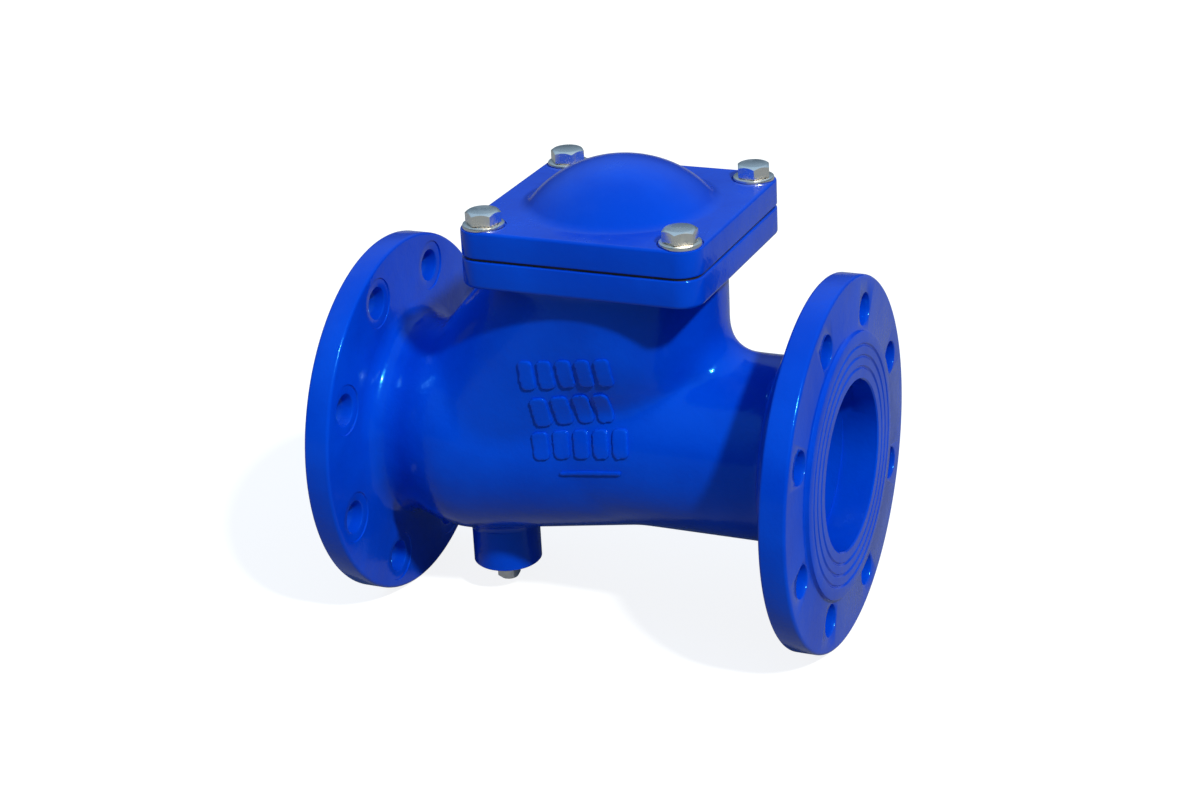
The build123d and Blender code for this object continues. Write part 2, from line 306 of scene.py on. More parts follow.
inlet_end = [(INSIDE_FLANGE, 0), (INSIDE_FLANGE, NECK_RADIUS + ROOT)]
inlet_end += flare(FLANGE_THICKNESS, NECK_RADIUS, 1)
barrel_side = barrel_outline(inlet_end, NECK_RADIUS, BULGE_RADIUS + SWELL / 2, TAPER_END[1])
outlet_neck = OUTLET_RADIUS + SWELL
outlet_side = [(MIDDLE_X, 0), (MIDDLE_X, outlet_neck)] + flare(OUTLET_BACK, outlet_neck, -1)[::-1]
outlet_side += [(OUTLET_END, OUTLET_RADIUS + ROOT), (OUTLET_END, 0)]
barrel = turn("rough_barrel", barrel_side, (0, 0, 0), X_AXIS)
outlet = turn("rough_outlet", outlet_side, (0, 0, OUTLET_RISE), X_AXIS)

# %% Add the chamber, the riser, the gusset and the boss
RISER_TOP = 122.0 * MM
GUSSET_RADIUS = 30.0 * MM
GUSSET_LENGTH = 56.0 * MM
GUSSET_PLACE = Vector((208.7, 0, 44.3)) * MM
GUSSET_SLANT = math.radians(135)
BOSS_TOP = -40.0 * MM
chamber = chamber_rod("rough_chamber", CHAMBER_RADIUS + SWELL)
riser_side = riser_outline(RISER_RADIUS + SWELL, RISER_TOP)
riser = turn("rough_riser", riser_side, (COVER_X, 0, 0), Z_AXIS)
# the gusset fills the corner between the riser and the outlet neck
gusset = rod("rough_gusset", GUSSET_RADIUS, GUSSET_LENGTH, GUSSET_PLACE, (0, GUSSET_SLANT, 0))
boss_start = BOSS_LOW + 6 * MM
boss_wall = BOSS_RADIUS - INSET
boss_side = [(boss_start, 0), (boss_start, boss_wall), (BOSS_TOP, boss_wall), (BOSS_TOP, 0)]
boss = turn("rough_boss", boss_side, (BOSS_X, 0, 0), Z_AXIS)
rough = [barrel, outlet, chamber, riser, gusset, boss]

# %% Add a disc inside each pipe flange
DISC_RADIUS = 88.0 * MM
for near, far in ((INSIDE_FLANGE, FLANGE_THICKNESS - INSET), (OUTLET_BACK + INSET, OUTLET_END)):
    disc = [(near, 0), (near, DISC_RADIUS), (far, DISC_RADIUS), (far, 0)]
    rough.append(turn("rough_flange", disc, (0, 0, 0), X_AXIS))
for piece in rough:
    print(piece.name, [round(v / MM) for v in piece.dimensions])

# %% Cut the chamber level and add the square flange's rough block
CHAMBER_TOP = 118.0 * MM


def cut_flat(piece, place, normal, **cleared):
    """Cuts a piece along a plane and closes the cut; clear_outer drops the normal's side."""
    select_only(piece)
    bpy.ops.object.mode_set(mode="EDIT")
    bpy.ops.mesh.select_all(action="SELECT")
    bpy.ops.mesh.bisect(plane_co=place, plane_no=normal, use_fill=True, **cleared)
    bpy.ops.object.mode_set(mode="OBJECT")


cut_flat(chamber, (0, 0, CHAMBER_TOP), Z_AXIS, clear_outer=True)
half = (cover_high.x - cover_low.x) / 2
rough_half = half - INSET
block_low = (COVER_X - rough_half, -rough_half, TOP_FLANGE_LOW + INSET)
block_high = (COVER_X + rough_half, rough_half, gasket_low.z - 2 * MM)
rough.append(slab("rough_block", block_low, block_high, SQUARE_CORNER))

# %% Remesh and smooth into one cast skin
CAST_VOXEL = 2.3 * MM
HOLLOWS = (((160.0, 34.0), 46.0), ((224.0, 66.0), 14.0))  # ((x, z), reach) in millimetres
casting = join_all(rough, "valve_casting")
apply_modifier(casting, "REMESH", mode="VOXEL", voxel_size=CAST_VOXEL)
apply_modifier(casting, "SMOOTH", factor=0.5, iterations=40)


def near_hollow(point):
    """1 in the middle of a hollow between the shapes, fading to 0 at its reach."""
    weight = 0.0
    for (x, z), reach in HOLLOWS:
        away = math.hypot(point.x / MM - x, point.z / MM - z) / reach
        weight = max(weight, min(1.0, 2.0 * (1.0 - away)))
    return weight


hollows = casting.vertex_groups.new(name="hollows")
for vertex in casting.data.vertices:
    weight = near_hollow(vertex.co)
    if weight > 0:
        hollows.add([vertex.index], weight, "REPLACE")
apply_modifier(casting, "SMOOTH", factor=0.5, iterations=80, vertex_group="hollows")
report(casting)

# %% [markdown]
# ## Machined flanges
# The pipe flanges, the square top flange and the foot of the drain boss are turned or
# milled on the real valve. They are made as crisp solids with small rounded rims and
# joined to the cast skin. The raised face carries three sealing grooves.

# %% Turn one pipe flange
RAISED = 3.0 * MM
RAISED_RADIUS = 78.0 * MM
RIM_ROUND = 2.0 * MM
GROOVE_RADII = (57.0 * MM, 63.5 * MM, 70.0 * MM)
GROOVE_HALF_WIDTH = 1.1 * MM
GROOVE_HALF_FLOOR = 0.2 * MM
GROOVE_DEPTH = 0.9 * MM


def flange_outline():
    """The inlet flange from its sealing face to its back, with grooves and round rims."""
    outline = [(0, 0)]
    for radius in GROOVE_RADII:
        outline += [(0, radius - GROOVE_HALF_WIDTH), (GROOVE_DEPTH, radius - GROOVE_HALF_FLOOR)]
        outline += [(GROOVE_DEPTH, radius + GROOVE_HALF_FLOOR), (0, radius + GROOVE_HALF_WIDTH)]
    # the softened edge of the raised face, then the small fillet at its root
    outline += [(0, RAISED_RADIUS - 1.2 * MM), (0.4 * MM, RAISED_RADIUS - 0.3 * MM)]
    outline += [(RAISED - 1 * MM, RAISED_RADIUS), (RAISED - 0.3 * MM, RAISED_RADIUS + 0.3 * MM)]
    outline += [(RAISED, RAISED_RADIUS + 1 * MM)]
    outline += arc((RAISED + RIM_ROUND, FLANGE_RADIUS - RIM_ROUND), RIM_ROUND, 180, 90, 5)
    outline += arc((FLANGE_THICKNESS - RIM_ROUND, FLANGE_RADIUS - RIM_ROUND), RIM_ROUND, 90, 0, 5)
    return outline + [(FLANGE_THICKNESS, 0)]


inlet_flange = turn("inlet_flange", flange_outline(), (0, 0, 0), X_AXIS, 144)
mirrored = [(FACE_TO_FACE - d, r) for d, r in flange_outline()]
outlet_flange = turn("outlet_flange", mirrored, (0, 0, 0), X_AXIS, 144)
for flange in (inlet_flange, outlet_flange):
    combine(casting, flange, "UNION")

# %% Add the square flange and the boss foot
BOSS_BEVEL = 0.6 * MM
FOOT_TOP = -66.0 * MM
FOOT_SLOPE = 2.0 * MM
square = slab(
    "square_flange",
    (COVER_X - half, -half, TOP_FLANGE_LOW),
    (COVER_X + half, half, gasket_low.z),
    SQUARE_CORNER, 1.0 * MM, 2.5 * MM,
)
combine(casting, square, "UNION")
foot = [(BOSS_LOW, 0), (BOSS_LOW, BOSS_RADIUS - BOSS_BEVEL), (BOSS_LOW + BOSS_BEVEL, BOSS_RADIUS)]
slope_end = FOOT_TOP + FOOT_SLOPE
foot += [(FOOT_TOP, BOSS_RADIUS), (slope_end, BOSS_RADIUS - FOOT_SLOPE), (slope_end, 0)]
combine(casting, turn("boss_foot", foot, (BOSS_X, 0, 0), Z_AXIS, 72), "UNION")
report(casting)

# %% [markdown]
# ## The water way
# The inside follows the outside at a nearly even wall: a round room about the closed ball,
# the inclined chamber, the riser and the way to the outlet. It is remeshed and smoothed
# in the same manner, cut flat where the seat ring sits, and taken out of the casting.

# %% Find the seat, where the closed ball rests
SEAT_TILT = math.radians(30)
SEAT_NORMAL = Vector((math.cos(SEAT_TILT), 0, math.sin(SEAT_TILT)))
SEAT_RADIUS = 45.0 * MM
SEAT_CENTRE = BALL_CENTRE - SEAT_NORMAL * math.sqrt(BALL_RADIUS**2 - SEAT_RADIUS**2)
print("seat centre in mm:", [round(v / MM, 1) for v in SEAT_CENTRE])

# %% Make the hollow
BORE_RADIUS = 50.0 * MM
ABOVE_TOP = 160.0 * MM
HOLLOW_VOXEL = 3.2 * MM
# the outlet room starts inside the chamber and widens to the full bore near its end
outlet_start, widening, full_bore, outlet_end = (x * MM for x in (157.0, 250.0, 276.0, 290.0))
neck_inner = NECK_RADIUS - WALL
outlet_inner = OUTLET_RADIUS - WALL
room_start = [(FLANGE_THICKNESS, 0), (FLANGE_THICKNESS, neck_inner)]
room_side = barrel_outline(room_start, neck_inner, BULGE_RADIUS - WALL, TAPER_END[1] - WALL)
outlet_room = [(outlet_start, 0), (outlet_start, outlet_inner), (widening, outlet_inner)]
outlet_room += [(full_bore, BORE_RADIUS), (outlet_end, BORE_RADIUS), (outlet_end, 0)]
rooms = [
    turn("room", room_side, (0, 0, 0), X_AXIS, 72),
    chamber_rod("chamber_room", CHAMBER_RADIUS - CHAMBER_WALL),
    turn("riser_room", riser_outline(RISER_RADIUS - RISER_WALL, ABOVE_TOP), (COVER_X, 0, 0), Z_AXIS, 72),
    turn("outlet_room", outlet_room, (0, 0, OUTLET_RISE / 2), X_AXIS, 72),
]
hollow = join_all(rooms, "hollow")
apply_modifier(hollow, "REMESH", mode="VOXEL", voxel_size=HOLLOW_VOXEL)
apply_modifier(hollow, "SMOOTH", factor=0.5, iterations=10)
cut_flat(hollow, SEAT_CENTRE, SEAT_NORMAL, clear_inner=True)
combine(casting, hollow, "DIFFERENCE")

# %% Bore the outlet and the seat pocket
SEAT_DEPTH = 7.0 * MM
RING_RADIUS = 49.5 * MM
BORE_START = 278.0 * MM
PAST = 2.0 * MM
bore_end = FACE_TO_FACE + PAST
outlet_bore = [(BORE_START, 0), (BORE_START, BORE_RADIUS), (FACE_TO_FACE - RIM, BORE_RADIUS)]
outlet_bore += [(bore_end, BORE_RADIUS + RIM + PAST), (bore_end, 0)]
combine(casting, turn("outlet_bore", outlet_bore, (0, 0, 0), X_AXIS, 144), "DIFFERENCE")
pocket = [(-SEAT_DEPTH, 0), (-SEAT_DEPTH, RING_RADIUS), (1 * MM, RING_RADIUS), (1 * MM, 0)]
combine(casting, turn("seat_pocket", pocket, SEAT_CENTRE, SEAT_NORMAL, 96), "DIFFERENCE")

# %% Lead the throat from the inlet to the seat
THROAT_RADIUS = 42.5 * MM
THROAT_BEND_X = 10.0 * MM
BEHIND_POCKET = 5.0 * MM
BEND_STEPS = 6


def extrude_ring(move):
    bpy.ops.mesh.extrude_edges_move(TRANSFORM_OT_translate={"value": move})


def throat_between():
    """A tube whose rings turn step by step from the upright bore to the tilted seat."""
    bpy.ops.object.select_all(action="DESELECT")
    bpy.ops.mesh.primitive_circle_add(
        vertices=96, radius=BORE_RADIUS, location=(-PAST, 0, 0), rotation=(0, math.pi / 2, 0)
    )
    tube = settle(bpy.context.object)
    bpy.ops.object.mode_set(mode="EDIT")
    bpy.ops.mesh.select_all(action="SELECT")
    extrude_ring((PAST + THROAT_BEND_X, 0, 0))
    start = Vector((THROAT_BEND_X, 0, 0))
    end = SEAT_CENTRE - SEAT_NORMAL * (SEAT_DEPTH + BEHIND_POCKET)
    centre, radius = start, BORE_RADIUS
    for i in range(1, BEND_STEPS + 1):
        target = start.lerp(end, i / BEND_STEPS)
        new_radius = BORE_RADIUS + (THROAT_RADIUS - BORE_RADIUS) * i / BEND_STEPS
        extrude_ring(target - centre)
        bpy.ops.transform.resize(value=[new_radius / radius] * 3, center_override=target)
        bpy.ops.transform.rotate(
            value=SEAT_TILT / BEND_STEPS, orient_axis="Y", center_override=target, orient_type="GLOBAL"
        )
        centre, radius = target, new_radius
    extrude_ring(SEAT_NORMAL * (SEAT_DEPTH + BEHIND_POCKET - 1 * MM))
    bpy.ops.mesh.edge_face_add()
    bpy.ops.mesh.select_all(action="DESELECT")
    bpy.ops.object.mode_set(mode="OBJECT")
    for vertex in tube.data.vertices:
        vertex.select = vertex.co.x < 0
    bpy.ops.object.mode_set(mode="EDIT")
    bpy.ops.mesh.select_mode(type="VERT")
    bpy.ops.mesh.edge_face_add()
    bpy.ops.mesh.select_all(action="SELECT")
    bpy.ops.mesh.normals_make_consistent(inside=False)
    bpy.ops.object.mode_set(mode="OBJECT")
    return tube


throat = throat_between()
print("throat size in mm:", [round(v / MM, 1) for v in throat.dimensions])
combine(casting, throat, "DIFFERENCE")
report(casting)

# %% [markdown]
# ## Drilled holes
# Each pipe flange has eight bolt holes, with a spot face on the back where the nut
# turns. One cutter is turned, copied round the bolt circle and mirrored to the other
# flange. All cutters are joined, so that one Boolean drills every hole.

# %% Make one cutter and copy it round the flanges
BOLT_CIRCLE = 90.0 * MM
HOLE_RADIUS = 9.5 * MM
SPOT_RADIUS = 15.0 * MM
SPOT_DEPTH = 0.8 * MM
HOLES = 8
CLEAR = 0.4 * MM


def copy_of(piece, name, place=(0, 0, 0), turned=(0, 0, 0)):
    """A copy with a mesh of its own, moved and turned, with its place in its mesh."""
    select_only(piece)
    bpy.ops.object.duplicate(linked=False)
    twin = bpy.context.object
    twin.name = name
    twin.location = place
    twin.rotation_euler = turned
    return settle(twin)


def rim_in(face, radius, into):
    """Points of a small rounded rim where a hole enters a face; into is 1 or -1."""
    inward = into * RIM
    points = [(face - into * PAST, radius + RIM), (face, radius + RIM)]
    return points + [(face + inward * 0.35, radius + RIM * 0.35), (face + inward, radius)]


spot_face = FLANGE_THICKNESS - SPOT_DEPTH
hole = [(RAISED - PAST, 0)] + rim_in(RAISED, HOLE_RADIUS, 1)
hole += rim_in(spot_face, HOLE_RADIUS, -1)[:0:-1]
behind = FLANGE_THICKNESS + CLEAR
hole += [(spot_face, SPOT_RADIUS), (behind, SPOT_RADIUS + CLEAR), (behind, 0)]
cutter = turn("flange_drill", hole, (0, 0, BOLT_CIRCLE), X_AXIS, 48)
drills = []
for number in range(HOLES):
    angle = 2 * math.pi * (number + 0.5) / HOLES
    drills.append(copy_of(cutter, "drill", turned=(angle, 0, 0)))
    drills.append(copy_of(cutter, "drill", (FACE_TO_FACE, 0, 0), (angle, 0, math.pi)))
bpy.data.objects.remove(cutter)
combine(casting, join_all(drills, "flange_drills"), "DIFFERENCE")

# %% Tap the cover's screw holes and bore the boss
BOLT_SPACING = 118.0 * MM
TAPPED_RADIUS = 6.05 * MM
TAPPED_DEPTH = 14.5 * MM
PLUG_HOLE_RADIUS = 10.5 * MM
PLUG_HOLE_DEPTH = 17.0 * MM
DRILL_POINT = 3.0 * MM
DRAIN_RADIUS = 7.0 * MM
DRAIN_TOP = -50.0 * MM
CORNERS = ((-1, -1), (1, -1), (1, 1), (-1, 1))
reach = BOLT_SPACING / 2
bolt_places = [(COVER_X + x * reach, y * reach, 0) for x, y in CORNERS]
top = gasket_low.z
bottom = top - TAPPED_DEPTH
tapped = [(bottom, 0), (bottom + DRILL_POINT, TAPPED_RADIUS), (top - RIM, TAPPED_RADIUS)]
tapped += [(top, TAPPED_RADIUS + RIM), (top + 1 * MM, TAPPED_RADIUS + RIM), (top + 1 * MM, 0)]
tap = turn("tap", tapped, (0, 0, 0), Z_AXIS, 36)
taps = [copy_of(tap, "tap_copy", place) for place in bolt_places]
bpy.data.objects.remove(tap)
combine(casting, join_all(taps, "taps"), "DIFFERENCE")
below = BOSS_LOW - 1 * MM
plug_end = BOSS_LOW + PLUG_HOLE_DEPTH
drain = [(below, 0), (below, PLUG_HOLE_RADIUS + RIM), (BOSS_LOW, PLUG_HOLE_RADIUS + RIM)]
drain += [(BOSS_LOW + RIM, PLUG_HOLE_RADIUS), (plug_end, PLUG_HOLE_RADIUS)]
drain += [(plug_end + 2 * MM, DRAIN_RADIUS), (DRAIN_TOP, DRAIN_RADIUS), (DRAIN_TOP, 0)]
combine(casting, turn("drain", drain, (BOSS_X, 0, 0), Z_AXIS, 48), "DIFFERENCE")
report(casting)

# %% [markdown]
# ## Raised cast marks
# A foundry casts its size and grade marks proud of the body. Here they stay blank: rows
# of plain raised blocks without any lettering. Upright blocks are intersected with a
# slightly swollen copy of the casting, so each mark stands evenly off the curved skin.

# %% Lay out the blank marks
MARK_PROUD = 1.6 * MM
MARK_SUNK = 1.5 * MM
MARK_TILT = math.radians(-7)
MARK_GAP = 2.6
FRONT_Y = -58.0 * MM
THROUGH = 50.0 * MM
# (x, z) of the first block's middle, then how many, their width and height, all in millimetres
MARK_ROWS = (
    ((126.0, 60.0), 5, 9.2, 18.0),
    ((132.0, 36.5), 4, 9.6, 19.0),
    ((130.0, 14.5), 5, 9.6, 17.0),
    ((160.0, 0.5), 1, 38.0, 2.6),
)


def runs_deep(a, b):
    """Tells the long edges of a mark's block, which pass through the skin."""
    return abs((a - b).y) > 0.8 * THROUGH


def mark_block(x, z, width, height):
    """One upright block that passes through the front of the casting."""
    mark = block("mark", (x * MM, FRONT_Y, z * MM), (width * MM, THROUGH, height * MM), (0, MARK_TILT, 0))
    bevel_where(mark, runs_deep, min(width, height) * 0.3 * MM, 4)
    return mark


blocks = []
for (x, z), count, width, height in MARK_ROWS:
    for i in range(count):
        along = i * (width + MARK_GAP)
        place_x, place_z = x + along * math.cos(MARK_TILT), z - along * math.sin(MARK_TILT)
        blocks.append(mark_block(place_x, place_z, width, height))
marks = join_all(blocks, "marks")

# %% Fit the marks to the skin
swollen = copy_of(casting, "swollen")
apply_modifier(swollen, "DISPLACE", strength=MARK_PROUD, mid_level=0.0)
combine(marks, swollen, "INTERSECT")
shrunk = copy_of(casting, "shrunk")
apply_modifier(shrunk, "DISPLACE", strength=-MARK_SUNK, mid_level=0.0)
combine(marks, shrunk, "DIFFERENCE")
report(marks)

# %% Round the marks off and join them
MARK_VOXEL = 0.7 * MM
apply_modifier(marks, "REMESH", mode="VOXEL", voxel_size=MARK_VOXEL)
apply_modifier(marks, "SMOOTH", factor=0.5, iterations=6)
report(marks)
combine(casting, marks, "UNION")
smooth(casting, 30)
report(casting)

# %% [markdown]
# ## The cover
# The cover is cast too: a square plate with a dome that leaves room for the open ball.
# A bevelled block gives the plate. The dome, with the fillet at its foot, is turned and
# joined, and then the inside of the dome, the spot faces and the screw holes are cut.

# %% Shape the plate and the dome
DOME_CENTRE_Z = 101.5 * MM
DOME_RADIUS = 72.0 * MM
DOME_WALL = 8.0 * MM
FOOT = 11.0 * MM
OVERLAP = 0.03 * MM
DOME_SUNK = 5.0 * MM
plate_top = washer_low.z + 1.0 * MM
cover = slab(
    "valve_cover",
    (COVER_X - half, -half, cover_low.z),
    (COVER_X + half, half, plate_top),
    SQUARE_CORNER, 2.0 * MM, 1.0 * MM,
)
foot_rise = plate_top + FOOT - DOME_CENTRE_Z
foot_out = math.sqrt((DOME_RADIUS + FOOT) ** 2 - foot_rise**2)
foot_angle = math.degrees(math.atan2(foot_out, foot_rise))
dome_start = cover_low.z + DOME_SUNK
dome = [(dome_start, 0), (dome_start, foot_out)]
dome += arc((plate_top + FOOT, foot_out), FOOT + OVERLAP, 180, 180 + foot_angle, 14)
dome += arc((DOME_CENTRE_Z, 0), DOME_RADIUS, foot_angle, 0, 20)[1:]
combine(cover, turn("dome", dome, (COVER_X, 0, 0), Z_AXIS, 96), "UNION")
inner = DOME_RADIUS - DOME_WALL
under = cover_low.z - 1 * MM
inner_start = math.degrees(math.acos((under - DOME_CENTRE_Z) / inner))
room_under = [(under, 0)] + arc((DOME_CENTRE_Z, 0), inner, inner_start, 0, 20)
combine(cover, turn("dome_room", room_under, (COVER_X, 0, 0), Z_AXIS, 96), "DIFFERENCE")
print("cover size in mm:", [round(v / MM, 1) for v in cover.dimensions])

# %% Drill the cover
COVER_HOLE = 7.0 * MM
COVER_SPOT = 13.0 * MM
SPOT_CLEAR = 0.6 * MM
spot = [(under, 0), (under, COVER_HOLE), (washer_low.z, COVER_HOLE)]
spot += [(washer_low.z, COVER_SPOT), (plate_top, COVER_SPOT)]
spot += [(plate_top + SPOT_CLEAR, COVER_SPOT + SPOT_CLEAR), (plate_top + SPOT_CLEAR, 0)]
drill = turn("cover_drill", spot, (0, 0, 0), Z_AXIS, 48)
drills = [copy_of(drill, "cover_drill_copy", place) for place in bolt_places]
bpy.data.objects.remove(drill)
combine(cover, join_all(drills, "cover_drills"), "DIFFERENCE")
smooth(cover, 30)
report(cover)

# %% [markdown]
# ## Screws and washers
# A forged hex screw has six flats, a conical chamfer on top and a washer face below. A
# six-sided prism gives the flats and a turned cone cuts the chamfer, which leaves the
# curved lines that every real screw head shows. The thread is turned as close rings.

# %% Model the head of one hex screw
HALF_FLATS = 9.0 * MM
CORNER_RADIUS = HALF_FLATS * 2 / math.sqrt(3)
HEAD_HEIGHT = 7.5 * MM
FACE_HEIGHT = 0.4 * MM
head_low = washer_high.z
head_top = head_low + HEAD_HEIGHT
head_middle = (0, 0, (head_low + FACE_HEIGHT + head_top) / 2)
screw = rod("hex_screw", CORNER_RADIUS, HEAD_HEIGHT - FACE_HEIGHT, head_middle, (0, 0, math.pi / 6), 6)
print("head in mm:", [round(v / MM, 2) for v in screw.dimensions])
bevel_where(screw, is_upright, 0.35 * MM, 2)
# a cone turns the six corners off, and a small round leads on to the flat top
cone = [(head_low - 1 * MM, 0), (head_low - 1 * MM, CORNER_RADIUS + 1 * MM)]
cone += [(head_top - 1.7 * MM, CORNER_RADIUS + 0.2 * MM), (head_top - 0.35 * MM, HALF_FLATS - 0.25 * MM)]
cone += [(head_top - 0.1 * MM, HALF_FLATS - 0.8 * MM), (head_top, HALF_FLATS - 1.3 * MM), (head_top, 0)]
combine(screw, turn("screw_cone", cone, (0, 0, 0), Z_AXIS, 72), "INTERSECT")

# %% Add the shank and the washer face
SCREW_RADIUS = 6.0 * MM
SCREW_LENGTH = 30.0 * MM
THREAD_PITCH = 1.75 * MM
THREAD_DEPTH = 0.9 * MM


def thread_outline(low, high, radius, pitch, depth):
    """Ring after ring of a thread, as a zigzag outline."""
    points = []
    for i in range(int((high - low) / pitch)):
        root = low + i * pitch
        points += [(root, radius - depth), (root + pitch * 0.4, radius), (root + pitch * 0.6, radius)]
    return points


tip = head_low - SCREW_LENGTH
plain = SCREW_RADIUS - 0.1 * MM
face_radius = HALF_FLATS - 0.6 * MM
shank = [(tip, 0), (tip, SCREW_RADIUS - 1.2 * MM)]
shank += thread_outline(tip + 1 * MM, head_low - 4 * MM, SCREW_RADIUS, THREAD_PITCH, THREAD_DEPTH)
shank += [(head_low - 3 * MM, plain), (head_low - 0.5 * MM, plain), (head_low, SCREW_RADIUS + 0.4 * MM)]
shank += [(head_low, face_radius), (head_low + 0.7 * MM, face_radius), (head_low + 0.7 * MM, 0)]
combine(screw, turn("shank", shank, (0, 0, 0), Z_AXIS, 48), "UNION")
smooth(screw, 25)
report(screw)

# %% Model one washer
WASHER_HOLE = 6.5 * MM
WASHER_EDGE = 0.35 * MM
outside = (washer_high.x - washer_low.x) / 2
low_z, high_z = washer_low.z, washer_high.z
ring = [(low_z, WASHER_HOLE), (low_z, outside - WASHER_EDGE), (low_z + WASHER_EDGE, outside)]
ring += [(high_z - 2 * WASHER_EDGE, outside), (high_z - 0.6 * WASHER_EDGE, outside - 0.6 * WASHER_EDGE)]
ring += [(high_z, outside - 2 * WASHER_EDGE), (high_z, WASHER_HOLE + WASHER_EDGE)]
ring += [(high_z - WASHER_EDGE, WASHER_HOLE), (low_z, WASHER_HOLE)]
washer = turn("washer", ring, (0, 0, 0), Z_AXIS, 64)
smooth(washer, 30)
report(washer)

# %% Copy them to the four corners
HEAD_TURN = math.radians(17)
screws, washers = [], []
for number, place in enumerate(bolt_places, 1):
    screws.append(copy_of(screw, f"hex_screw_{number}", place, (0, 0, HEAD_TURN * number)))
    washers.append(copy_of(washer, f"screw_washer_{number}", place))
for piece in (screw, washer):
    bpy.data.objects.remove(piece)

# %% [markdown]
# ## Drain plug
# The lowest point of the body has a plug with a square head, sealed with white tape. The
# square is a bevelled block whose lower corners a cone has turned off.

# %% Model the plug
PLUG_FLATS = 11.0 * MM
PLUG_CORNER = 0.9 * MM
PLUG_THREAD = 10.1 * MM
PLUG_THREAD_LENGTH = 15.0 * MM
PLUG_PITCH = 2.0 * MM
square_half = PLUG_FLATS / 2
plug = slab(
    "square_plug",
    (BOSS_X - square_half, -square_half, plug_low.z),
    (BOSS_X + square_half, square_half, BOSS_LOW + 1 * MM),
    PLUG_CORNER,
)
end, wide = plug_low.z, square_half * 1.5
cone = [(end, 0), (end, square_half - 0.2 * MM), (end + 0.6 * MM, square_half + 0.4 * MM)]
cone += [(end + 2.4 * MM, wide), (BOSS_LOW + 2 * MM, wide), (BOSS_LOW + 2 * MM, 0)]
combine(plug, turn("plug_cone", cone, (BOSS_X, 0, 0), Z_AXIS, 64), "INTERSECT")
thread_top = BOSS_LOW + PLUG_THREAD_LENGTH
stem = [(BOSS_LOW, 0), (BOSS_LOW, PLUG_THREAD - 1 * MM)]
stem += thread_outline(BOSS_LOW + 0.5 * MM, thread_top - 1 * MM, PLUG_THREAD, PLUG_PITCH, THREAD_DEPTH)
stem += [(thread_top, PLUG_THREAD - 1.2 * MM), (thread_top, 0)]
combine(plug, turn("plug_stem", stem, (BOSS_X, 0, 0), Z_AXIS, 64), "UNION")
smooth(plug, 28)
report(plug)

# %% [markdown]
# ## The ball
# The ball is an iron shell with a thick rubber coat, moulded in two halves. The mould
# leaves a low flash line round the coat. The coat is turned about an upright line, as a
# hollow sphere whose outline has that small ridge half-way up.

# %% Turn the rubber coat
COAT = 4.0 * MM
FLASH = 0.12 * MM


def sphere_outline(radius, ridge):
    """Half a circle from pole to pole; ridge replaces its middle point or is empty."""
    if ridge:
        outline = arc((0, 0), radius, 180, 92, 30) + ridge + arc((0, 0), radius, 88, 0, 30)
    else:
        outline = arc((0, 0), radius, 180, 0, 48)
    return [(-radius, 0)] + outline[1:-1] + [(radius, 0)]


low_skin = BALL_RADIUS - FLASH
flash_line = [(-1 * MM, low_skin), (-0.3 * MM, BALL_RADIUS), (0.3 * MM, BALL_RADIUS), (1 * MM, low_skin)]
coat = turn("rubber_coat", sphere_outline(low_skin, flash_line), BALL_CENTRE, Z_AXIS)
coat_room = turn("coat_room", sphere_outline(BALL_RADIUS - COAT, []), BALL_CENTRE, Z_AXIS, 72)
combine(coat, coat_room, "DIFFERENCE")
smooth(coat, 40)
report(coat)

# %% [markdown]
# ## Shader groups
# Three effects repeat: the orange peel of a sprayed coat, fine handling marks and a mask
# of upward faces, which stands for settled dust in the roughness and for a painted sky
# sheen in the blue coat's colour. Each is a node group that puts out a mask or a height
# only, and every material mixes it in with its own amounts.

# %% Helpers for node trees
def new_group(name, inputs, outputs):
    """An empty node group, with its input and output nodes."""
    group = bpy.data.node_groups.new(name, "ShaderNodeTree")
    for label, kind, value in inputs:
        socket = group.interface.new_socket(name=label, in_out="INPUT", socket_type=kind)
        socket.default_value = value
    for label, kind in outputs:
        group.interface.new_socket(name=label, in_out="OUTPUT", socket_type=kind)
    start = group.nodes.new("NodeGroupInput")
    end = group.nodes.new("NodeGroupOutput")
    return group, start, end


def noise(tree, vector, scale, detail, roughness=0.5):
    made = tree.nodes.new("ShaderNodeTexNoise")
    made.inputs["Scale"].default_value = scale
    made.inputs["Detail"].default_value = detail
    made.inputs["Roughness"].default_value = roughness
    tree.links.new(vector, made.inputs["Vector"])
    return made


def ramp(tree, value, low, high, to_low=0.0, to_high=1.0):
    """Eases a value from one range into another, without going past its ends."""
    made = tree.nodes.new("ShaderNodeMapRange")
    made.interpolation_type = "SMOOTHSTEP"
    labels = ("From Min", "From Max", "To Min", "To Max")
    for label, number in zip(labels, (low, high, to_low, to_high)):
        made.inputs[label].default_value = number
    tree.links.new(value, made.inputs["Value"])
    return made.outputs["Result"]


def maths(tree, operation, a, b):
    """A sum or product of two values, each a number or the output of a node."""
    made = tree.nodes.new("ShaderNodeMath")
    made.operation = operation
    for socket, value in zip(made.inputs, (a, b)):
        if isinstance(value, (int, float)):
            socket.default_value = value
        else:
            tree.links.new(value, socket)
    return made.outputs[0]


